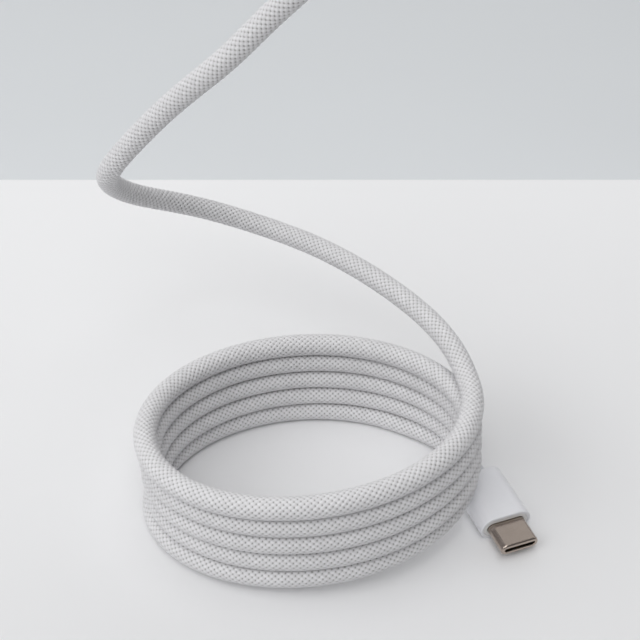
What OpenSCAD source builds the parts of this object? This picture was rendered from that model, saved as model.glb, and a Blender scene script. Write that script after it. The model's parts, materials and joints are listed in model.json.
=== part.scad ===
/* [Cord] */
// Diameter over the braid
cord_d = 4.7; // [4.5:0.1:4.7]
// Number of turns stacked in the coil
coil_turns = 5; // [4:1:6]
// Height that each turn adds to the stack
coil_pitch = 4.74; // [4.7:0.01:4.8]
// Long half-axis of the coil's centreline
coil_a = 33.2; // [33:0.1:33.4]
// Short half-axis of the coil's centreline
coil_b = 25.4; // [25.2:0.1:25.6]
// Turn of the coil's long axis, seen from above
coil_angle = -15; // [-16:1:-14]

/* [Plug housing] */
// Width of the moulded housing
housing_w = 11.4; // [11.2:0.1:12]
// Height of the moulded housing, whose sides are fully round
housing_h = 5.6; // [5.6:0.1:5.8]
// Length of the moulded housing
housing_l = 14.5; // [14.5:0.1:15]
// Wall of the moulded housing
housing_wall = 0.7; // [0.6:0.05:0.75]
// Length of the strain relief behind the housing
relief_l = 7.5; // [7:0.1:8]

/* [Connector] */
// Outside width of the metal shell
shell_w = 8.34; // [8.25:0.01:8.34]
// Outside height of the metal shell
shell_h = 2.56; // [2.5:0.01:2.56]
// Sheet thickness of the metal shell
shell_wall = 0.28; // [0.25:0.01:0.28]
// Length of metal shell in front of the housing
shell_out = 6.4; // [6.2:0.1:6.6]
// Number of contacts in each row
contact_count = 12; // [8:1:12]
// Distance from one contact to the next
contact_pitch = 0.5; // [0.45:0.01:0.5]
// Width of the slot for the socket's tongue
slot_w = 6.7; // [6.6:0.05:6.7]

/* [Hidden] */
$fn = 64;
RING_SIDES = 72;
TUBE_SIDES = 10;
TUBE_STEPS = 2;
FIT = 0.02;
OVER = 1;

// The near plug lies along Y with its tip towards -Y and its length centred on the origin.
plug_l = shell_out + housing_l + relief_l;
tip_y = -plug_l / 2;
face_y = tip_y + shell_out;
tail_y = face_y + housing_l;
exit_y = plug_l / 2;
axis_z = housing_h / 2;

// Stations along the plug, in order from the tip to the cord
collar_front_y = face_y + 0.1;
mould_front_y = face_y + 2.3;
shell_rear_y = face_y + 6.8;
lip_y = tip_y + 0.85;
cavity_front_y = tip_y + 1.2;
root_y = tip_y + 7.6;
block_rear_y = tip_y + 10.2;
board_front_y = tip_y + 10.5;
board_rear_y = tip_y + 16.2;
can_rear_y = tip_y + 18.4;
cord_end_y = tail_y - 0.8;

cavity_w = housing_w - 2 * housing_wall;
cavity_h = housing_h - 2 * housing_wall;
bore_w = shell_w - 2 * shell_wall;
bore_h = shell_h - 2 * shell_wall;
board_t = 0.8;
slot_h = 0.8;
contact_t = 0.15;
contact_w = 0.25;
contact_z = board_t / 2 + FIT;
contact_tip_r = 0.18;
spring_bay_h = 1.7;
latch_x = slot_w / 2 + 0.07;
latch_t = 0.15;
latch_h = 0.6;
can_t = 0.2;
wire_d = 0.8;

// The coil's centre, and the height of its straight-sided stack
coil_x = -34.2;
coil_y = 16.5;
coil_h = (coil_turns - 1) * coil_pitch + cord_d;

// Where the free lead's far plug begins, and the way its tip points
far_pos = [-22.5, 27, 119];
far_rise = 48;
far_turn = 57;
far_dir = [cos(far_rise) * sin(far_turn), -cos(far_rise) * cos(far_turn), sin(far_rise)];
far_depth = exit_y - cord_end_y;

// The free lead's foot, which climbs out of the top turn
lead_foot = [
    [-51.4, -3.6, 21.3],
    [-40.8, -8, 23.4],
    [-29.4, -9.5, 24.8],
    [-20.5, -8.4, 25.6],
    [-13.5, -5.5, 25.9],
    [-6.3, 0, 26]
];

// Route of the free lead from the coil to the far plug
lead_route = [
    [-2.6, 6.5, 26.2],
    [-0.7, 13.5, 26.7],
    [-0.3, 20, 27.9],
    [-1.2, 27, 29.1],
    [-3.4, 35, 30],
    [-7, 43.5, 31],
    [-11.5, 52, 31.9],
    [-16.5, 60.5, 32.2],
    [-22.5, 68, 32.7],
    [-29.8, 73.8, 34.3],
    [-38.4, 76.6, 37.7],
    [-47, 76, 42.2],
    [-53.5, 73, 47],
    [-58.5, 69, 52.5],
    [-61, 65, 57.5],
    [-61, 61, 62.5],
    [-58.5, 57, 68.5],
    [-54, 52.5, 76],
    [-48, 46.5, 85],
    [-41, 40.5, 94],
    [-34, 35.5, 103.5],
    far_pos - 9 * far_dir,
    far_pos,
    far_pos + far_depth * far_dir
];

// A stadium: a rectangle with fully round ends
module stadium(w, h) {
    square([w - h, h], center = true);
    for (side = [-1, 1])
        translate([side * (w - h) / 2, 0])
            circle(d = h);
}

// A stadium bar along Y on the plug's axis, from y0 to y1
module stadium_bar(w, h, y0, y1) {
    translate([0, y1, axis_z])
        rotate([90, 0, 0])
            linear_extrude(y1 - y0)
                stadium(w, h);
}

// A round bar along Y, from y0 to y1, at x and at z above the plug's axis
module round_bar(d, y0, y1, x = 0, z = 0) {
    translate([x, y1, axis_z + z])
        rotate([90, 0, 0])
            cylinder(d = d, h = y1 - y0);
}

// A block centred on x, from y0 to y1 and from z0 to z1 above the plug's axis
module block(w, y0, y1, z0, z1, x = 0) {
    translate([x - w / 2, y0, axis_z + z0])
        cube([w, y1 - y0, z1 - z0]);
}

// Puts a plug's pieces at the far end of the free lead
module at_far_end() {
    translate(far_pos)
        rotate([-far_rise, 0, far_turn])
            translate([0, -exit_y, -axis_z])
                children();
}

// A point on the coil's centreline moved outwards, at the given angle
function coil_point(t, out) = [(coil_a + out) * cos(t), (coil_b + out) * sin(t)];

module coil_outline(out) {
    polygon([for (i = [0:RING_SIDES - 1]) coil_point(i * 360 / RING_SIDES, out)]);
}

// The stack of turns, stepped over the near plug, with the cord's end that enters that plug
module cord_coil() {
    color("#d3d5d8") {
        difference() {
            translate([coil_x, coil_y, 0])
                rotate(coil_angle)
                    linear_extrude(coil_h)
                        difference() {
                            coil_outline(cord_d / 2);
                            coil_outline(-cord_d / 2);
                        }
            translate([-housing_w / 2 - 0.3, tip_y, -OVER])
                cube([housing_w, exit_y - tip_y, housing_h + 0.3 + OVER]);
        }
        round_bar(cord_d, cord_end_y, exit_y + 5);
    }
}

// Curve through the route's points
tube_route = concat(lead_foot, lead_route);
function route_at(i) = tube_route[max(0, min(len(tube_route) - 1, i))];
function curve_at(i, u) =
    0.5 * (2 * route_at(i) + u * (route_at(i + 1) - route_at(i - 1))
        + u * u * (2 * route_at(i - 1) - 5 * route_at(i) + 4 * route_at(i + 1) - route_at(i + 2))
        + u * u * u * (3 * route_at(i) - route_at(i - 1) - 3 * route_at(i + 1) + route_at(i + 2)));

// Centres of the tube's rings, and the ring's points round each of them
tube_spans = len(tube_route) - 1;
tube_centres = [
    for (i = [0:tube_spans - 1], k = [0:TUBE_STEPS - 1]) curve_at(i, k / TUBE_STEPS),
    tube_route[tube_spans]
];
tube_rings = len(tube_centres);
function unit(v) = v / norm(v);
function along(i) =
    unit(tube_centres[min(i + 1, tube_rings - 1)] - tube_centres[max(i - 1, 0)]);
function sideways(i) = unit(cross(along(i), [0, 0, 1]));
function upwards(i) = cross(sideways(i), along(i));
function tube_point(i, t) =
    tube_centres[i] + cord_d / 2 * (cos(t) * sideways(i) + sin(t) * upwards(i));

module free_lead() {
    points = [for (i = [0:tube_rings - 1], k = [0:TUBE_SIDES - 1])
        tube_point(i, k * 360 / TUBE_SIDES)];
    last = (tube_rings - 1) * TUBE_SIDES;
    walls = [for (i = [0:tube_rings - 2], k = [0:TUBE_SIDES - 1])
        let (n = (k + 1) % TUBE_SIDES, a = i * TUBE_SIDES)
        [a + k, a + TUBE_SIDES + k, a + TUBE_SIDES + n, a + n]];
    start = [[for (k = [0:TUBE_SIDES - 1]) k]];
    end = [[for (k = [TUBE_SIDES - 1:-1:0]) last + k]];
    color("#d3d5d8")
        polyhedron(points, concat(start, walls, end), convexity = 6);
}

// Moulded outer sleeve, open at the front, with a hole for the cord in its rear wall
module housing() {
    color("#f0f1f4")
        difference() {
            stadium_bar(housing_w, housing_h, face_y, tail_y);
            stadium_bar(cavity_w, cavity_h, face_y - OVER, cord_end_y);
            round_bar(cord_d + 4 * FIT, cord_end_y - OVER, tail_y + OVER);
        }
}

// Nose ring that closes the gap between the sleeve and the metal shell
module front_collar() {
    color("#d9dade")
        difference() {
            stadium_bar(cavity_w - FIT, cavity_h - FIT, collar_front_y, mould_front_y - FIT);
            stadium_bar(shell_w + FIT, shell_h + FIT, collar_front_y - OVER, mould_front_y + OVER);
        }
}

// Nylon block that holds the connector in the sleeve
module inner_mould() {
    color("#c9cbd0")
        difference() {
            stadium_bar(cavity_w - FIT, cavity_h - FIT, mould_front_y, shell_rear_y - 0.1);
            stadium_bar(shell_w + FIT, shell_h + FIT, mould_front_y - OVER, shell_rear_y + OVER);
        }
}

// Drawn steel shell, open at both ends
module metal_shell() {
    color("#b9b4ad")
        difference() {
            stadium_bar(shell_w, shell_h, tip_y, shell_rear_y);
            stadium_bar(bore_w, bore_h, tip_y - OVER, shell_rear_y + OVER);
        }
}

// Black contact carrier: a lip at the mouth, an open spring bay, and a block that holds the roots
module insulator() {
    bay_rear_y = root_y - 0.1;
    spring_window_w = 5.2;
    color("#2a2a2c")
        difference() {
            stadium_bar(bore_w - 2 * FIT, bore_h - 2 * FIT, lip_y, block_rear_y);
            block(slot_w, lip_y - OVER, cavity_front_y + OVER, -slot_h / 2, slot_h / 2);
            block(slot_w, cavity_front_y, bay_rear_y, -spring_bay_h / 2, spring_bay_h / 2);
            block(shell_w, cavity_front_y, bay_rear_y, -latch_h / 2 - 0.1, latch_h / 2 + 0.1);
            block(spring_window_w, cavity_front_y + 0.3, cavity_front_y + 3.2, -shell_h, shell_h);
            block(slot_w + 0.4, bay_rear_y - OVER, block_rear_y + OVER, -0.12, 0.12);
            for (side = [-1, 1])
                translate([0, 0, side * (contact_z + contact_t / 2)])
                    block(6.2, bay_rear_y - OVER, block_rear_y + OVER, -0.1, 0.1);
        }
}

// Plate between the two contact rows, which the latch arms grow from
module mid_plate() {
    color("#a8a9ad")
        block(slot_w + 0.3, root_y - 0.08, board_front_y - 0.1, -0.1, 0.1);
}

// One row of contact beams above the slot, each with a round contact point near its tip
module contact_row() {
    beam_front_y = tip_y + 1.8;
    point_y = beam_front_y + 0.4;
    color("#d9b25a")
        for (i = [0:contact_count - 1])
            translate([(i - (contact_count - 1) / 2) * contact_pitch, 0, 0]) {
                block(contact_w, beam_front_y, root_y - 0.2, contact_z, contact_z + contact_t);
                translate([-contact_w / 2, point_y, axis_z + contact_z + 0.04])
                    rotate([0, 90, 0])
                        cylinder(r = contact_tip_r, h = contact_w);
            }
}

// The lower row is the upper one turned about the plug's axis
module contact_row_lower() {
    translate([0, 0, axis_z])
        mirror([0, 0, 1])
            translate([0, 0, -axis_z])
                contact_row();
}

// Fixed rear stretches of all the contacts, soldered to both faces of the board
module contact_tails() {
    color("#d9b25a")
        for (side = [-1, 1], i = [0:contact_count - 1])
            translate([0, 0, side * (contact_z + contact_t / 2)])
                block(contact_w, root_y - 0.05, board_front_y + 1.4, -contact_t / 2, contact_t / 2,
                    (i - (contact_count - 1) / 2) * contact_pitch);
}

// Side latch arm with an inward hook near its tip, on the side that side gives
module latch(side) {
    arm_front_y = tip_y + 1.6;
    hook_y = arm_front_y + 0.3;
    hook_w = 0.22;
    color("#a8a9ad") {
        block(latch_t, arm_front_y, root_y - 0.15, -latch_h / 2, latch_h / 2,
            side * (latch_x + latch_t / 2));
        block(hook_w, hook_y, hook_y + 0.8, -latch_h / 2, latch_h / 2,
            side * (latch_x - hook_w / 2 + FIT));
    }
}

// Thin spring plates in the carrier's upper and lower windows, which meet the socket's shield
module ground_springs() {
    color("#b9b4ad")
        for (side = [-1, 1])
            translate([0, 0, side * 0.9])
                block(5.1, cavity_front_y + 0.35, cavity_front_y + 3.15, -0.04, 0.04);
}

// Circuit board, narrow where it enters the metal shell
module paddle_board() {
    color("#2f6f4f") {
        block(6.6, board_front_y, shell_rear_y + 0.5, -board_t / 2, board_t / 2);
        block(8.8, shell_rear_y + 0.2, board_rear_y, -board_t / 2, board_t / 2);
    }
}

// Identification chip on the board's underside
module marker_chip() {
    color("#26272a")
        block(2.2, board_rear_y - 2.6, board_rear_y - 0.8, -board_t / 2 - 0.62, -board_t / 2 - FIT);
}

// Small ceramic capacitors on both faces of the board
module capacitors() {
    color("#9a7b55")
        for (side = [-1, 1], face = [-1, 1])
            translate([side * 3.4, 0, face * (board_t / 2 + 0.25)])
                block(0.5, board_rear_y - 2.4, board_rear_y - 1.4, -0.2, 0.2);
}

// Two conductors from the board's rear pads to the cord's end, at +x and -x
module wire_pair(x) {
    for (side = [-1, 1])
        round_bar(wire_d, board_rear_y - 1.8, cord_end_y - FIT, side * x,
            board_t / 2 + wire_d / 2 + FIT);
}

module power_wires() {
    color("#b33a32")
        wire_pair(1.27);
}

module data_wires() {
    color("#e8e9ea")
        wire_pair(0.43);
}

// Steel sleeve round the board
module shield_can() {
    can_w = cavity_w - 2 * FIT;
    can_h = cavity_h - 2 * FIT;
    color("#c4c6ca")
        difference() {
            stadium_bar(can_w, can_h, shell_rear_y, can_rear_y);
            stadium_bar(can_w - 2 * can_t, can_h - 2 * can_t, shell_rear_y - OVER, can_rear_y + OVER);
        }
}

// Crimped ring round the wires, in front of the cord's end
module crimp_ferrule() {
    ferrule_h = cavity_h - 2 * FIT;
    bore_d = 3.9;
    color("#c4c6ca")
        difference() {
            stadium_bar(ferrule_h + 2.4, ferrule_h, can_rear_y + 0.1, cord_end_y - FIT);
            round_bar(bore_d, can_rear_y, cord_end_y);
        }
}

// Tapered sleeve round the cord behind the housing
module strain_relief() {
    root_d = cord_d + 0.8;
    end_d = cord_d + 0.4;
    color("#e4e5e8")
        difference() {
            translate([0, tail_y, axis_z])
                rotate([-90, 0, 0])
                    cylinder(d1 = root_d, d2 = end_d, h = relief_l);
            round_bar(cord_d + FIT, tail_y - OVER, exit_y + OVER);
        }
}

cord_coil();
free_lead();

housing();  // housing_a
front_collar();  // front_collar_a
inner_mould();  // inner_mould_a
metal_shell();  // metal_shell_a
insulator();  // insulator_a
mid_plate();  // mid_plate_a
contact_row();  // contacts_upper_a
contact_row_lower();  // contacts_lower_a
contact_tails();  // contact_tails_a
latch(-1);  // latch_left_a
latch(1);  // latch_right_a
ground_springs();  // ground_springs_a
paddle_board();  // paddle_board_a
marker_chip();  // marker_chip_a
capacitors();  // capacitors_a
power_wires();  // power_wires_a
data_wires();  // data_wires_a
shield_can();  // shield_can_a
crimp_ferrule();  // crimp_ferrule_a
strain_relief();  // strain_relief_a

at_far_end() housing();  // housing_b
at_far_end() front_collar();  // front_collar_b
at_far_end() inner_mould();  // inner_mould_b
at_far_end() metal_shell();  // metal_shell_b
at_far_end() insulator();  // insulator_b
at_far_end() mid_plate();  // mid_plate_b
at_far_end() contact_row();  // contacts_upper_b
at_far_end() contact_row_lower();  // contacts_lower_b
at_far_end() contact_tails();  // contact_tails_b
at_far_end() latch(-1);  // latch_left_b
at_far_end() latch(1);  // latch_right_b
at_far_end() ground_springs();  // ground_springs_b
at_far_end() paddle_board();  // paddle_board_b
at_far_end() capacitors();  // capacitors_b
at_far_end() power_wires();  // power_wires_b
at_far_end() data_wires();  // data_wires_b
at_far_end() shield_can();  // shield_can_b
at_far_end() crimp_ferrule();  // crimp_ferrule_b
at_far_end() strain_relief();  // strain_relief_b
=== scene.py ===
"""A white woven charging cable, coiled in five turns, with a flat reversible plug at each end.

The near plug lies under the coil. The free lead rises from the top turn to the far plug, which is held
just above the view. The braid is real geometry: a height field of 24 strands that pass over and under
each other along the cord.
"""

import json

import bpy
import numpy as np
from mathutils import Matrix, Vector


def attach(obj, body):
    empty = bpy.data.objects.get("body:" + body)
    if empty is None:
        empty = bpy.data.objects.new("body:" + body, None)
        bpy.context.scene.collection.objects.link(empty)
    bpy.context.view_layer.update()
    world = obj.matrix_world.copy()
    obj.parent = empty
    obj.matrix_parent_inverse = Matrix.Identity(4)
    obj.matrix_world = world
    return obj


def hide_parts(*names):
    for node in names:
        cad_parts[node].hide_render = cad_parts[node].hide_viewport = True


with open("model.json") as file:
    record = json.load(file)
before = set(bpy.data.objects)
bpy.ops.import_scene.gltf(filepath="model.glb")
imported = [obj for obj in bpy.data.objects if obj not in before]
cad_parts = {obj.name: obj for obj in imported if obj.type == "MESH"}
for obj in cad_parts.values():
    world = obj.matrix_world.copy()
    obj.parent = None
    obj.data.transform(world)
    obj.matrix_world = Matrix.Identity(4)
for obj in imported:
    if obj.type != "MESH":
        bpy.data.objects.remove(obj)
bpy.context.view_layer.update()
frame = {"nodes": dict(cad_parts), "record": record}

MM = 0.001
BODY = "cable"

# ---------------------------------------------------------------- sizes, in mm, as in the CAD source
CORD_D = 4.7
PITCH = 4.74
TURNS = 5
COIL_A, COIL_B, COIL_TURN = 33.2, 25.4, np.radians(-15)
COIL_X, COIL_Y = -34.2, 16.5

HOUSING_W, HOUSING_H, HOUSING_L = 11.4, 5.6, 14.5
HOUSING_WALL = 0.7
CAVITY_W = HOUSING_W - 2 * HOUSING_WALL
CAVITY_H = HOUSING_H - 2 * HOUSING_WALL
RELIEF_L = 7.5
SHELL_W, SHELL_H, SHELL_WALL, SHELL_OUT = 8.34, 2.56, 0.28, 6.4
TIP_Y = -(SHELL_OUT + HOUSING_L + RELIEF_L) / 2
FACE_Y = TIP_Y + SHELL_OUT
COLLAR_FRONT_Y = FACE_Y + 0.1
TAIL_Y = FACE_Y + HOUSING_L
EXIT_Y = -TIP_Y
CORD_END_Y = TAIL_Y - 0.8
AXIS_Z = HOUSING_H / 2

FAR_POS = np.array([-22.5, 27, 119.0])
FAR_RISE, FAR_TURN = np.radians(48), np.radians(57)
FAR_TURNED = Matrix.Rotation(FAR_TURN, 3, "Z") @ Matrix.Rotation(-FAR_RISE, 3, "X")
FAR_DIR = np.array(FAR_TURNED @ Vector((0, -1, 0)))

# The free lead's route from the coil to the far plug
LEAD_ROUTE = [
    (-2.6, 6.5, 26.2),
    (-0.7, 13.5, 26.7),
    (-0.3, 20, 27.9),
    (-1.2, 27, 29.1),
    (-3.4, 35, 30),
    (-7, 43.5, 31),
    (-11.5, 52, 31.9),
    (-16.5, 60.5, 32.2),
    (-22.5, 68, 32.7),
    (-29.8, 73.8, 34.3),
    (-38.4, 76.6, 37.7),
    (-47, 76, 42.2),
    (-53.5, 73, 47),
    (-58.5, 69, 52.5),
    (-61, 65, 57.5),
    (-61, 61, 62.5),
    (-58.5, 57, 68.5),
    (-54, 52.5, 76),
    (-48, 46.5, 85),
    (-41, 40.5, 94),
    (-34, 35.5, 103.5),
]


def smooth(u):
    u = np.clip(u, 0, 1)
    return u * u * (3 - 2 * u)


def linked(name, data):
    """A new object in the scene."""
    o = bpy.data.objects.new(name, data)
    bpy.context.scene.collection.objects.link(o)
    return o


# ---------------------------------------------------------------- camera
LOOK_DOWN, LOOK_TURN = 38.9, -20.7  # degrees below level, and about Z from straight along +Y

camera = linked("camera", bpy.data.cameras.new("camera"))
camera.location = (-0.102, -0.1686, 0.2079)
camera.rotation_euler = (np.radians(90 - LOOK_DOWN), 0, np.radians(LOOK_TURN))
camera.data.lens = 74.25
camera.data.clip_start = 0.01
camera.data.clip_end = 20
bpy.context.scene.camera = camera


# ---------------------------------------------------------------- the cord's centreline
# Ellipse angles within a turn, in degrees. The first turn takes over from the plug's axis at JOIN.
JOIN = 11.6
CLIMB_FROM, CLIMB_TO = 185, 340
TURN_LATE = 200  # from here on a turn makes ready for the next one
HUMP_UP_FROM, HUMP_UP_OVER = 290, 45
HUMP_DOWN_FROM, HUMP_DOWN_OVER = 5, 50
DRIFT_FROM, DRIFT_OVER = 325, 60
START_OVER = 38  # from JOIN, until the first turn is on its ellipse
START_X = 1.46  # in mm, moves the first turn's start across to the plug's axis
# Points of the coil stand this many degrees apart, and leave room at both ends for an easy bend
COIL_FIRST, COIL_STEP, COIL_SPARE = 22, 12, 14
# Each turn lies a little off the ideal ellipse, as a hand-wound coil's does
DRIFT = np.array([(-0.31, -0.2), (0.5, -0.22), (0.22, 0.0), (0.06, 0.18), (-0.47, 0.23), (0.0, 0.0)])
# How much each level is raised where it crosses the near plug
HUMP = [0, 0.86, 0.62, 0.38, 0.16, 0]
SPLINE_STEPS = 24


def coil_centre(angle):
    """The centreline at an ellipse angle in degrees, which counts on through all the turns."""
    t = np.radians(angle)
    x = COIL_X + COIL_A * np.cos(t) * np.cos(COIL_TURN) - COIL_B * np.sin(t) * np.sin(COIL_TURN)
    y = COIL_Y + COIL_A * np.cos(t) * np.sin(COIL_TURN) + COIL_B * np.sin(t) * np.cos(COIL_TURN)
    turn = int((angle - JOIN) // 360)
    within = angle - 360 * turn
    level = turn + smooth((within - CLIMB_FROM) / (CLIMB_TO - CLIMB_FROM))
    z = CORD_D / 2 + PITCH * level
    if within > TURN_LATE:
        z += HUMP[min(turn + 1, TURNS)] * smooth((within - HUMP_UP_FROM) / HUMP_UP_OVER)
        blend = smooth((within - DRIFT_FROM) / DRIFT_OVER)
        drift = DRIFT[turn] * (1 - blend) + DRIFT[turn + 1] * blend
    else:
        z += HUMP[turn] * (1 - smooth((within - HUMP_DOWN_FROM) / HUMP_DOWN_OVER))
        drift = DRIFT[turn]
    if turn == 0:
        start = 1 - smooth((within - JOIN) / START_OVER)
        x += (START_X - DRIFT[0][0]) * start
        y -= DRIFT[0][1] * start
        z += (AXIS_Z - CORD_D / 2) * start
    return (x + drift[0], y + drift[1], z)


def spline(points):
    """Points closely spaced along the natural cubic spline through the given points."""
    p = np.array(points, float)
    d = np.linalg.norm(np.diff(p, axis=0), axis=1)
    n = len(p)
    a = np.zeros((n, n))
    r = np.zeros((n, 3))
    a[0, 0] = a[-1, -1] = 1
    for i in range(1, n - 1):
        a[i, i - 1], a[i, i], a[i, i + 1] = d[i - 1], 2 * (d[i - 1] + d[i]), d[i]
        r[i] = 6 * ((p[i + 1] - p[i]) / d[i] - (p[i] - p[i - 1]) / d[i - 1])
    m = np.linalg.solve(a, r)
    out = []
    for i in range(n - 1):
        u = np.linspace(0, d[i], SPLINE_STEPS, endpoint=False)[:, None]
        slope = (p[i + 1] - p[i]) / d[i] - d[i] * (2 * m[i] + m[i + 1]) / 6
        out.append(p[i] + slope * u + m[i] / 2 * u**2 + (m[i + 1] - m[i]) / (6 * d[i]) * u**3)
    return np.concatenate([*out, p[-1:]])


def evenly(line, count):
    """count points at even distances along a line."""
    along = np.concatenate([[0], np.cumsum(np.linalg.norm(np.diff(line, axis=0), axis=1))])
    at = np.linspace(0, along[-1], count)
    return np.stack([np.interp(at, along, line[:, k]) for k in range(3)], axis=1)


plug_run = [(0, y, AXIS_Z) for y in (CORD_END_Y, 7.5, 9.5, 11.5)]
coil_run = [coil_centre(a) for a in np.arange(COIL_FIRST, JOIN + 360 * TURNS - COIL_SPARE, COIL_STEP)]
far_run = [tuple(FAR_POS + d * FAR_DIR) for d in (-9, -4.5, 0, 4, EXIT_Y - CORD_END_Y)]
centreline = spline(plug_run + coil_run + LEAD_ROUTE + far_run)
cord_length = np.linalg.norm(np.diff(centreline, axis=0), axis=1).sum()


# ---------------------------------------------------------------- material helpers
def new_material(name):
    m = bpy.data.materials.new(name)
    m.use_nodes = True
    nt = m.node_tree
    nt.nodes.clear()
    out = nt.nodes.new("ShaderNodeOutputMaterial")
    bsdf = nt.nodes.new("ShaderNodeBsdfPrincipled")
    nt.links.new(bsdf.outputs[0], out.inputs["Surface"])
    return m, nt, bsdf


def noise(nt, scale, detail=3, rough=0.5, stretch=(1, 1, 1)):
    """The value of a noise texture fixed to the object."""
    coord = nt.nodes.new("ShaderNodeTexCoord")
    mapping = nt.nodes.new("ShaderNodeMapping")
    mapping.inputs["Scale"].default_value = stretch
    tex = nt.nodes.new("ShaderNodeTexNoise")
    tex.inputs["Scale"].default_value = scale
    tex.inputs["Detail"].default_value = detail
    tex.inputs["Roughness"].default_value = rough
    nt.links.new(coord.outputs["Object"], mapping.inputs["Vector"])
    nt.links.new(mapping.outputs[0], tex.inputs["Vector"])
    return tex.outputs["Fac"]


def attribute(nt, name):
    """The value of one of a mesh's own attributes."""
    node = nt.nodes.new("ShaderNodeAttribute")
    node.attribute_name = name
    return node.outputs["Fac"]


def ramp(nt, value, stops):
    r = nt.nodes.new("ShaderNodeValToRGB")
    while len(r.color_ramp.elements) < len(stops):
        r.color_ramp.elements.new(0.5)
    for e, (at, colour) in zip(r.color_ramp.elements, stops):
        e.position = at
        e.color = (*colour, 1)
    nt.links.new(value, r.inputs["Fac"])
    return r.outputs["Color"]


def ranged(nt, value, low, high, start, end):
    """A value that goes from low to high as the given one goes from start to end."""
    r = nt.nodes.new("ShaderNodeMapRange")
    for key, v in (("From Min", start), ("From Max", end), ("To Min", low), ("To Max", high)):
        r.inputs[key].default_value = v
    nt.links.new(value, r.inputs["Value"])
    return r.outputs["Result"]


def wave(nt, value, turns):
    """A sine of the value, with so many turns to each unit."""
    angle = nt.nodes.new("ShaderNodeMath")
    angle.operation = "MULTIPLY"
    angle.inputs[1].default_value = 2 * np.pi * turns
    nt.links.new(value, angle.inputs[0])
    sine = nt.nodes.new("ShaderNodeMath")
    sine.operation = "SINE"
    nt.links.new(angle.outputs[0], sine.inputs[0])
    return sine.outputs[0]


def multiplied(nt, a, b):
    mix = nt.nodes.new("ShaderNodeMix")
    mix.data_type = "RGBA"
    mix.blend_type = "MULTIPLY"
    mix.inputs["Factor"].default_value = 1
    nt.links.new(a, mix.inputs["A"])
    nt.links.new(b, mix.inputs["B"])
    return mix.outputs["Result"]


def bump(nt, height, depth, under=None):
    """A bumped normal. depth is in mm, and under is the normal that it adds to."""
    b = nt.nodes.new("ShaderNodeBump")
    b.inputs["Strength"].default_value = 1
    b.inputs["Distance"].default_value = depth * MM
    nt.links.new(height, b.inputs["Height"])
    if under is not None:
        nt.links.new(under, b.inputs["Normal"])
    return b.outputs["Normal"]


def grained(
    name, colour, roughness, metallic=0.0, spread=0.06, grain=9000, depth=0.004, stretch=(1, 1, 1)
):
    """A material with a cloudy change of shade, a roughness that varies and a fine grain, depth mm deep."""
    m, nt, bsdf = new_material(name)
    cloud = noise(nt, 260, 4, 0.6)
    lower = tuple(c * (1 - spread) for c in colour)
    upper = tuple(min(1, c * (1 + spread)) for c in colour)
    nt.links.new(ramp(nt, cloud, [(0.3, lower), (0.7, upper)]), bsdf.inputs["Base Color"])
    fine = noise(nt, grain, 3, 0.6, stretch)
    rough = ranged(nt, fine, roughness - 0.05, roughness + 0.07, 0.3, 0.7)
    nt.links.new(rough, bsdf.inputs["Roughness"])
    nt.links.new(bump(nt, fine, depth), bsdf.inputs["Normal"])
    bsdf.inputs["Metallic"].default_value = metallic
    return m


FILAMENTS = 6  # across each strand of the braid


def braid_material():
    """Woven polyester, with shade painted down the strands' sides into the pinholes between crossings and
    into the creases between turns, and fine filaments along each strand.
    """
    m, nt, bsdf = new_material("woven_braid")
    # Painted shade: white on the strands' tops, darker down their sides and darkest in the pinholes, set by
    # the surface's height
    painted_shade_by_height = ramp(nt, attribute(nt, "lift"), [
        (0.0, (0.07, 0.062, 0.058)),
        (0.26, (0.34, 0.325, 0.32)),
        (0.6, (0.73, 0.722, 0.73)),
        (0.84, (0.85, 0.845, 0.86)),
        (1.0, (0.95, 0.945, 0.965)),
    ])
    by_strand = ramp(nt, attribute(nt, "shade"), [
        (0.0, (0.93, 0.93, 0.93)),
        (1.0, (1.0, 1.0, 1.0)),
    ])
    # Painted shade in the creases where one turn lies against the next
    painted_shade_between_turns = ramp(nt, attribute(nt, "painted_turn_shade"), [
        (0.0, (1.0, 1.0, 1.0)),
        (0.5, (0.62, 0.6, 0.585)),
        (1.0, (0.2, 0.18, 0.17)),
    ])
    colour = multiplied(nt, multiplied(nt, painted_shade_by_height, by_strand), painted_shade_between_turns)
    nt.links.new(colour, bsdf.inputs["Base Color"])
    # Filaments: waves across the strand that is on top in each cell of the weave
    uv = nt.nodes.new("ShaderNodeUVMap")
    uv.uv_map = "weave"
    split = nt.nodes.new("ShaderNodeSeparateXYZ")
    nt.links.new(uv.outputs[0], split.inputs[0])
    checker = nt.nodes.new("ShaderNodeTexChecker")
    checker.inputs["Scale"].default_value = 1
    nt.links.new(uv.outputs[0], checker.inputs["Vector"])
    pick = nt.nodes.new("ShaderNodeMix")
    pick.data_type = "FLOAT"
    nt.links.new(checker.outputs["Fac"], pick.inputs["Factor"])
    nt.links.new(wave(nt, split.outputs["Y"], FILAMENTS), pick.inputs["A"])
    nt.links.new(wave(nt, split.outputs["X"], FILAMENTS), pick.inputs["B"])
    fibres = bump(nt, pick.outputs["Result"], 0.02)
    fuzz = noise(nt, 14000, 2, 0.6)
    nt.links.new(bump(nt, fuzz, 0.01, under=fibres), bsdf.inputs["Normal"])
    nt.links.new(ranged(nt, fuzz, 0.46, 0.66, 0.3, 0.7), bsdf.inputs["Roughness"])
    bsdf.inputs["Sheen Weight"].default_value = 0.12
    bsdf.inputs["Sheen Roughness"].default_value = 0.4
    return m


LENGTHWAYS = (1, 0.3, 1)  # stretches a grain along Y

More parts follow.
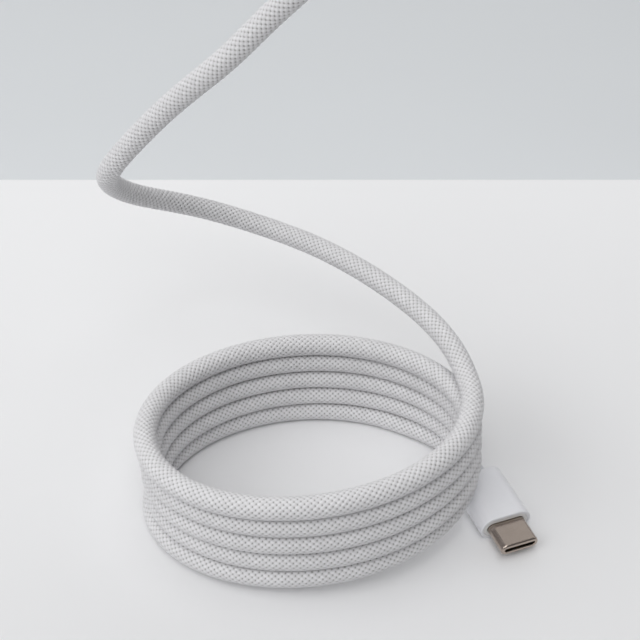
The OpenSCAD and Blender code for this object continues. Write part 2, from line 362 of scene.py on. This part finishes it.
materials = {
    "cord_braid": braid_material(),
    "housing_white": grained(
        "satin_white", (0.83, 0.835, 0.865), 0.34, spread=0.012, grain=5200, depth=0.0025
    ),
    "collar_grey": grained(
        "satin_grey", (0.80, 0.80, 0.79), 0.42, spread=0.02, grain=5200, depth=0.0025
    ),
    "inner_nylon": grained("nylon", (0.50, 0.51, 0.54), 0.55, spread=0.03),
    "plug_metal": grained(
        "polished_nickel", (0.47, 0.40, 0.35), 0.19, 1.0, 0.06, 2600, 0.0007, LENGTHWAYS
    ),
    "black_plastic": grained("black_liquid_crystal_polymer", (0.055, 0.05, 0.047), 0.45, spread=0.15),
    "spring_steel": grained("spring_steel", (0.50, 0.50, 0.52), 0.25, 1.0, 0.05, 6000, 0.002, (1, 0.15, 1)),
    "contact_gold": grained("gold_plate", (0.80, 0.56, 0.22), 0.22, 1.0, 0.04, 6000, 0.0015),
    "board_green": grained("board_lacquer", (0.02, 0.12, 0.06), 0.32, spread=0.12),
    "chip_black": grained("chip_epoxy", (0.02, 0.02, 0.022), 0.6, spread=0.1),
    "ceramic_tan": grained("fired_ceramic", (0.30, 0.20, 0.11), 0.5, spread=0.1),
    "wire_red": grained("red_insulation", (0.40, 0.03, 0.025), 0.45, spread=0.05),
    "wire_white": grained("white_insulation", (0.62, 0.62, 0.62), 0.45, spread=0.03),
    "can_steel": grained("tin_plate", (0.52, 0.53, 0.55), 0.3, 1.0, 0.06, 3000, 0.003),
    "relief_white": grained(
        "soft_white", (0.66, 0.67, 0.70), 0.52, spread=0.02, grain=7000, depth=0.005
    ),
}


def wear(piece, slot_name):
    """Gives a piece its finish and puts it on the cable."""
    piece.data.materials.append(materials[slot_name])
    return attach(piece, BODY)


for row in frame["record"]["subparts"]:
    node = frame["nodes"][row["node"]]
    node.data.materials.clear()
    node.data.materials.append(materials[row["material_slot"]])


# ---------------------------------------------------------------- the cord: a core, and the braid over it
STRANDS = 12  # each way round
BRAID_PERIOD = 1.28  # the length of cord in which a strand rises and dips once
PER_CELL = 4  # quads along each side of a cell of the weave
TOP_R = 2.375  # how far the highest strands are from the centreline
SWAY = 0.095  # how far a strand rises and dips
SWELL = 0.105  # how far a strand's middle stands above its edges
PIT = 0.20  # how deep a pinhole is
STRAND_GAP = 0.02  # the share of a strand's width that is open beside it
NO_STRAND = -9  # a height below any strand, where there is none
UNEVEN_BY = 0.006  # how far the braid is out of round, and one strand above another
UNEVEN_RINGS = 60  # rings in which the unevenness changes
UNEVEN_WAVES = 8

rings = round(cord_length / BRAID_PERIOD * 2 * PER_CELL) + 1
centres = evenly(centreline, rings)
ring_at = np.linspace(0, cord_length, rings)
verts_round = STRANDS * PER_CELL

tangents = np.gradient(centres, axis=0)
tangents /= np.linalg.norm(tangents, axis=1, keepdims=True)


def carried(start):
    """A sideways vector carried along the cord without twist."""
    out = np.empty_like(tangents)
    v = start
    for i, t in enumerate(tangents):
        v = v - (v @ t) * t
        v /= np.sqrt(v @ v)
        out[i] = v
    return out


sideways = carried(np.array([1.0, 0, 0]))
upwards = np.cross(sideways, tangents)

# The grid is counted in cells: x round the cord, and y along it
ring = np.arange(rings)[:, None]
x_at = (2 * np.arange(verts_round)[None, :] + ring % 2) / (2 * PER_CELL)
y_at = np.broadcast_to(ring / (2 * PER_CELL), x_at.shape)


def cell(v):
    """The number of the strand that a coordinate is on, and how far across it."""
    whole = np.floor(v + 1e-6)
    return whole.astype(int), v - whole


def weave(x, y):
    """The height of the braid's surface above its middle layer, in mm, and the top strand's number."""
    ia, fa = cell(x + y)
    ib, fb = cell(x - y)

    def swell(f):
        dome = SWELL * np.sqrt(np.clip(1 - (2 * f - 1) ** 2, 0, 1))
        return np.where(f < STRAND_GAP, NO_STRAND, dome)

    a = SWAY * np.where(ia % 2, -1, 1) * np.cos(np.pi * (x - y - 0.5)) + swell(fa)
    b = -SWAY * np.where(ib % 2, -1, 1) * np.cos(np.pi * (x + y - 0.5)) + swell(fb)
    top = np.where(a > b, ia % STRANDS, STRANDS + ib % STRANDS)
    upper = np.maximum(a, b)
    return np.where(upper < NO_STRAND / 2, -PIT, upper), top


height, top_strand = weave(x_at, y_at)
rng = np.random.default_rng(7)
strand_shade = rng.uniform(0, 1, 2 * STRANDS)
strand_lift = rng.normal(0, UNEVEN_BY, 2 * STRANDS)
knots = rng.normal(0, 1, (rings // UNEVEN_RINGS + 3, UNEVEN_WAVES))
theta = 2 * np.pi * x_at / STRANDS
uneven = np.zeros_like(theta)
for k in range(UNEVEN_WAVES):
    slow = np.interp(np.arange(rings) / UNEVEN_RINGS, np.arange(len(knots)), knots[:, k])
    uneven += slow[:, None] * np.cos((k // 2 + 1) * theta + (k % 2) * np.pi / 2)
radius = TOP_R - SWAY - SWELL + height + strand_lift[top_strand] + UNEVEN_BY * uneven
# lift is the surface's height, from the pinholes (0) to the strands' tops (1); the braid's colour paints
# shade by it
lift = np.clip((height + PIT) / (PIT + SWAY + SWELL), 0, 1)
shade = np.clip(strand_shade[top_strand] + rng.normal(0, 0.18, height.shape), 0, 1)
across = np.cos(theta)[:, :, None] * sideways[:, None, :] + np.sin(theta)[:, :, None] * upwards[:, None, :]
surface = centres[:, None, :] + radius[:, :, None] * across

COARSE = 1600
TURN_SHORTEST, TURN_LONGEST = 120, 260  # the next turn lies this far along the cord
PAINTED_SHADE_FROM, PAINTED_SHADE_OVER = 0.02, 0.36  # the gaps at which the painted shade between turns is full, and fades
FAR_GAP = 9  # stands for no turn nearby


def neighbour_gap(step):
    """How far each vertex is from the surface of the turn before (-1) or after (1), in mm."""
    coarse = evenly(centreline, COARSE)
    along = np.linspace(0, cord_length, COARSE)
    apart = (along[None, :] - along[:, None]) * step
    distance = np.linalg.norm(coarse[:, None, :] - coarse[None, :, :], axis=2)
    distance[(apart < TURN_SHORTEST) | (apart > TURN_LONGEST)] = np.inf
    met = np.interp(ring_at, along, along[distance.argmin(1)])
    there = np.stack([np.interp(met, along, coarse[:, k]) for k in range(3)], axis=1)
    toward = np.stack([np.interp(met, ring_at, tangents[:, k]) for k in range(3)], axis=1)
    offset = surface - there[:, None, :]
    offset = offset - (offset * toward[:, None, :]).sum(2, keepdims=True) * toward[:, None, :]
    gap = np.linalg.norm(offset, axis=2) - TOP_R
    alone = np.interp(ring_at, along, distance.min(1) > 3 * CORD_D)
    return np.where(alone[:, None] > 0.5, FAR_GAP, gap)


# Painted shade: darkest where a turn's surface meets the turn above or below it, fading as the gap opens
nearest_gap = np.minimum(neighbour_gap(-1), neighbour_gap(1))
painted_turn_shade = 1 - smooth((nearest_gap - PAINTED_SHADE_FROM) / PAINTED_SHADE_OVER)
surface = surface.reshape(-1, 3) * MM


def quads(first, last):
    """The diamond quads that start on rings first to last - 1, and their weave coordinates."""
    n = np.arange(first, last)[:, None]
    m = np.arange(verts_round)[None, :]
    odd = n % 2
    right = (m + odd) % verts_round
    left = (m + odd - 1) % verts_round
    corners = np.stack([
        (n + 1) * verts_round + left,
        (n + 2) * verts_round + m,
        (n + 1) * verts_round + right,
        n * verts_round + m,
    ], axis=-1)
    a = (2 * m + odd + n) / (2 * PER_CELL)
    b = (2 * m + odd - n) / (2 * PER_CELL)
    a, b = a - 2 * np.floor(a / 2), b - 2 * np.floor(b / 2)
    s = 1 / PER_CELL
    uv = np.stack([
        np.stack([a, b - s], -1),
        np.stack([a + s, b - s], -1),
        np.stack([a + s, b], -1),
        np.stack([a, b], -1),
    ], axis=-2)
    return corners.reshape(-1, 4), uv.reshape(-1, 2)


def normals_of(points, faces):
    """A normal for each vertex, from the areas of the quads round it."""
    p = points[faces]
    of_face = np.cross(p[:, 2] - p[:, 0], p[:, 3] - p[:, 1])
    out = np.zeros_like(points)
    for k in range(4):
        for c in range(3):
            out[:, c] += np.bincount(faces[:, k], of_face[:, c], len(points))
    return out / np.maximum(np.linalg.norm(out, axis=1, keepdims=True), 1e-20)


def mesh_of(name, points, faces):
    """A smooth mesh object from arrays, all of whose faces have as many corners."""
    me = bpy.data.meshes.new(name)
    count, corners = faces.shape
    me.vertices.add(len(points))
    me.vertices.foreach_set("co", points.astype(np.float32).ravel())
    me.loops.add(count * corners)
    me.loops.foreach_set("vertex_index", faces.astype(np.int32).ravel())
    me.polygons.add(count)
    me.polygons.foreach_set("loop_start", np.arange(0, count * corners, corners, dtype=np.int32))
    me.polygons.foreach_set("use_smooth", np.full(count, True))
    me.update(calc_edges=True)
    return linked(name, me)


vertex_normals = normals_of(surface, quads(0, rings - 2)[0])


def sleeve(name, first, last):
    """One stretch of the braid, from ring first to ring last."""
    faces, uv = quads(first, min(last, rings - 2))
    start, end = first * verts_round, min(last + 2, rings) * verts_round
    o = mesh_of(name, surface[start:end], faces - start)
    for key, values in (("lift", lift), ("shade", shade), ("painted_turn_shade", painted_turn_shade)):
        layer = o.data.attributes.new(key, "FLOAT", "POINT")
        layer.data.foreach_set("value", values.ravel()[start:end].astype(np.float32))
    weave_map = o.data.uv_layers.new(name="weave")
    weave_map.data.foreach_set("uv", uv.astype(np.float32).ravel())
    o.data.normals_split_custom_set_from_vertices(vertex_normals[start:end].tolist())
    return wear(o, "cord_braid")


TURN_L, RUN_IN = 185, 7  # the cord in one turn, and between the plug and the first turn
sleeve_names = [f"braid_turn_{k + 1}" for k in range(TURNS)] + ["braid_lead_lower", "braid_lead_upper"]
ends = [0] + [(k + 1) * TURN_L + RUN_IN for k in range(TURNS)]
ends += [(ends[-1] + cord_length) / 2, cord_length]
ring_step = cord_length / (rings - 1)
end_rings = [min(rings - 1, round(end / ring_step)) for end in ends]
sleeves = [sleeve(name, end_rings[i], end_rings[i + 1]) for i, name in enumerate(sleeve_names)]

CORE_R = 1.95
CORE_POINTS = 900

core_curve = bpy.data.curves.new("cord_core", "CURVE")
core_curve.dimensions = "3D"
core_curve.bevel_depth = CORE_R * MM
core_curve.bevel_resolution = 4
core_curve.use_fill_caps = True
core_points = evenly(centreline, CORE_POINTS) * MM
line = core_curve.splines.new("POLY")
line.points.add(len(core_points) - 1)
line.points.foreach_set("co", np.c_[core_points, np.ones(len(core_points))].ravel())
core = linked("cord_core", core_curve)
wear(core, "relief_white")
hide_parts("cord_coil", "free_lead")


# ---------------------------------------------------------------- the plugs
AROUND = 112


def stadium(w, h):
    """AROUND points on a stadium's outline, evenly spaced, from the middle of its top."""
    r = h / 2
    flat = w / 2 - r
    total = 4 * flat + 2 * np.pi * r
    out = []
    for s in np.arange(AROUND) / AROUND * total:
        if s < flat:
            out.append((s, r))
        elif s < flat + np.pi * r:
            a = (s - flat) / r
            out.append((flat + r * np.sin(a), r * np.cos(a)))
        elif s < 3 * flat + np.pi * r:
            out.append((flat - (s - flat - np.pi * r), -r))
        elif s < 3 * flat + 2 * np.pi * r:
            a = (s - 3 * flat - np.pi * r) / r
            out.append((-flat - r * np.sin(a), -r * np.cos(a)))
        else:
            out.append((s - total, r))
    return np.array(out)


def edge(y, w, h, r, forward, inner=False, steps=7):
    """Sections of a rounded edge of radius r between the side of a w by h stadium and the face at y.

    They run from the side to the face. forward is -1 for a face that looks towards the tip. inner
    rounds the mouth of a hole.
    """
    out = []
    for a in np.linspace(np.pi / 2, 0, steps):
        inset = r * (1 - np.sin(a)) * (-1 if inner else 1)
        out.append((y - forward * r * (1 - np.cos(a)), w - 2 * inset, h - 2 * inset))
    return out


def loft(name, sections, far, slot_name):
    """A closed skin through stadium sections given as (y, width, height), for the near or the far plug."""
    pts = np.array([(x, y, AXIS_Z + z) for y, w, h in sections for x, z in stadium(w, h)])
    if far:
        pts = (pts - [0, EXIT_Y, AXIS_Z]) @ np.array(FAR_TURNED).T + FAR_POS
    i = np.arange(len(sections))[:, None]
    j = np.arange(AROUND)[None, :]
    here, after = i * AROUND, (i + 1) % len(sections) * AROUND
    beside = (j + 1) % AROUND
    faces = np.stack([here + j, here + beside, after + beside, after + j], axis=-1)
    return wear(mesh_of(name, pts * MM, faces.reshape(-1, 4)), slot_name)


def housing_sections():
    """The moulded sleeve: its rear hole, rounded back, flanks, rounded front and the cavity inside."""
    hole = CORD_D + 0.12
    flanks = [(y, HOUSING_W, HOUSING_H) for y in np.linspace(TAIL_Y - 1.1, FACE_Y + 0.5, 9)]
    return [
        (TAIL_Y - 0.7, hole, hole),
        (TAIL_Y - 0.1, hole, hole),
        (TAIL_Y, hole + 0.2, hole + 0.2),
        (TAIL_Y, hole + 0.5, hole + 0.35),
        *edge(TAIL_Y, HOUSING_W, HOUSING_H, 0.9, 1)[::-1],
        *flanks,
        *edge(FACE_Y, HOUSING_W, HOUSING_H, 0.32, -1),
        *edge(FACE_Y, CAVITY_W, CAVITY_H, 0.16, -1, inner=True, steps=5)[::-1],
        (FACE_Y + 0.6, CAVITY_W, CAVITY_H),
        (FACE_Y + 2, CAVITY_W, CAVITY_H),
        (CORD_END_Y - 0.1, CAVITY_W, CAVITY_H),
        (CORD_END_Y, CAVITY_W - 0.3, CAVITY_H - 0.3),
    ]


def collar_sections():
    """The nose ring: its hole for the metal shell, chamfered front and outer side."""
    w, h = CAVITY_W - 0.02, CAVITY_H - 0.02
    hole_w, hole_h = SHELL_W + 0.05, SHELL_H + 0.05
    y = COLLAR_FRONT_Y
    return [
        (y + 1.9, hole_w, hole_h),
        (y + 0.3, hole_w, hole_h),
        (y + 0.06, hole_w, hole_h),
        (y, hole_w + 0.14, hole_h + 0.14),
        (y, hole_w + 0.3, hole_h + 0.3),
        (y, w - 0.24, h - 0.24),
        (y + 0.03, w - 0.08, h - 0.08),
        (y + 0.12, w, h),
        (y + 0.4, w, h),
        (y + 1.9, w, h),
    ]


def shell_sections():
    """The drawn metal shell, whose front edge is rolled inwards."""
    mouth_w, mouth_h = 6.85, 0.84
    bore_w, bore_h = SHELL_W - 2 * SHELL_WALL, SHELL_H - 2 * SHELL_WALL
    rear = FACE_Y + 0.7
    flanks = [(y, SHELL_W, SHELL_H) for y in np.linspace(rear, TIP_Y + 0.6, 7)]
    return [
        *flanks,
        *edge(TIP_Y, SHELL_W, SHELL_H, 0.46, -1, steps=9),
        *edge(TIP_Y, mouth_w, mouth_h, 0.16, -1, inner=True, steps=6)[::-1],
        (TIP_Y + 0.74, mouth_w, mouth_h),
        (TIP_Y + 0.8, bore_w, bore_h),
        (TIP_Y + 0.95, bore_w, bore_h),
        (rear, bore_w, bore_h),
    ]


def relief_sections():
    """The tapered sleeve behind the housing, with shallow flexing grooves and a rounded end."""
    root_d, end_d, bore = CORD_D + 0.8, CORD_D + 0.4, CORD_D + 0.1
    grooves, groove_depth, end_r = 5, 0.16, 0.16
    out = [(TAIL_Y, bore, bore), (TAIL_Y + 0.02, root_d, root_d)]
    for y in np.linspace(TAIL_Y + 0.3, EXIT_Y - 0.5, 57):
        u = (y - TAIL_Y) / RELIEF_L
        in_groove = max(0.0, np.cos(2 * np.pi * (u * grooves - 0.1))) ** 6 if 0.1 < u < 0.86 else 0
        d = root_d + (end_d - root_d) * u - 2 * groove_depth * in_groove
        out.append((y, d, d))
    out += edge(EXIT_Y, end_d, end_d, end_r, 1)[1:]
    return out + [(EXIT_Y, bore, bore), (EXIT_Y - 0.2, bore - 0.02, bore - 0.02)]


for side, suffix in (("near", "a"), ("far", "b")):
    far = side == "far"
    made = [
        (loft(f"{side}_housing", housing_sections(), far, "housing_white"), "housing"),
        (loft(f"{side}_collar", collar_sections(), far, "collar_grey"), "front_collar"),
        (loft(f"{side}_metal_sleeve", shell_sections(), far, "plug_metal"), "metal_shell"),
        (loft(f"{side}_strain_relief", relief_sections(), far, "relief_white"), "strain_relief"),
    ]
    for piece, node in made:
        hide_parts(f"{node}_{suffix}")


# ---------------------------------------------------------------- floor, backdrop and light
NEAR_PAINTED_SHADE = 0.79  # painted shade at a slab's near side, as a share of its colour
PAINTED_SHADE_HALF = 0.12  # metres before and beyond the middle, over which the painted shade changes


def slab(name, low, high, turn, colour, roughness, rounding=0):
    """A flat block from low to high, turned about Z, with shade painted darker towards its near side."""
    me = bpy.data.meshes.new(name)
    x0, y0, z0 = low
    x1, y1, z1 = high
    pts = [(x, y, z) for z in (z0, z1) for x, y in ((x0, y0), (x1, y0), (x1, y1), (x0, y1))]
    sides = [(0, 1, 5, 4), (1, 2, 6, 5), (2, 3, 7, 6), (3, 0, 4, 7)]
    me.from_pydata(pts, [], [(0, 3, 2, 1), (4, 5, 6, 7), *sides])
    o = linked(name, me)
    o.rotation_euler[2] = turn
    if rounding:
        bevel = o.modifiers.new("edge", "BEVEL")
        bevel.width = rounding
        bevel.segments = 4
    m, nt, bsdf = new_material(name)
    coord = nt.nodes.new("ShaderNodeTexCoord")
    split = nt.nodes.new("ShaderNodeSeparateXYZ")
    nt.links.new(coord.outputs["Object"], split.inputs[0])
    # Painted shade: the slab's colour darkens from its far side to its near side
    near_to_far = ranged(nt, split.outputs["Y"], 0, 1, -PAINTED_SHADE_HALF, PAINTED_SHADE_HALF)
    painted_falloff = ramp(nt, near_to_far, [(0.0, tuple(NEAR_PAINTED_SHADE * c for c in colour)), (1.0, colour)])
    clouds = ramp(nt, noise(nt, 9), [(0.3, (0.985, 0.985, 0.985)), (0.7, (1.0, 1.0, 1.0))])
    nt.links.new(multiplied(nt, painted_falloff, clouds), bsdf.inputs["Base Color"])
    bsdf.inputs["Roughness"].default_value = roughness
    o.data.materials.append(m)


along_view = np.radians(LOOK_TURN)
slab("table", (-2.5, -2.5, -0.024), (2.5, 0.1293, 0.0), along_view, (0.945, 0.948, 0.958), 0.55, 0.0012)
slab("ground", (-6, -6, -0.05), (6, 6, -0.025), along_view, (0.75, 0.775, 0.795), 0.8)

LIGHT_AIM = Vector((-0.03, 0.02, 0.02))
LIGHT_REACH = 1.2


def soft_box(name, bearing, rise, power, size=0.9):
    """A round soft light aimed at the coil.

    bearing is in degrees clockwise, seen from above, from the side that lies straight behind the coil for
    the camera. rise is in degrees above level.
    """
    data = bpy.data.lights.new(name, "AREA")
    data.shape = "DISK"
    data.size = size
    data.energy = power
    turn, up = np.radians(bearing - LOOK_TURN), np.radians(rise)
    side = Vector((np.sin(turn) * np.cos(up), np.cos(turn) * np.cos(up), np.sin(up)))
    o = linked(name, data)
    o.location = LIGHT_AIM + LIGHT_REACH * side
    o.rotation_euler = side.to_track_quat("Z", "Y").to_euler()


soft_box("window", 270, 35, 2.7)
soft_box("window_front", 232, 42, 4.1)
soft_box("front", 180, 58, 3.6, size=0.65)
soft_box("overhead", 0, 89, 3.1)
soft_box("right_rear", 60, 30, 0.8)
soft_box("rear", 0, 30, 4.1, size=1.9)

world = bpy.data.worlds.new("studio")
world.use_nodes = True
world.node_tree.nodes["Background"].inputs["Color"].default_value = (0.15, 0.15, 0.152, 1)
bpy.context.scene.world = world
bpy.context.scene.view_settings.view_transform = "Standard"
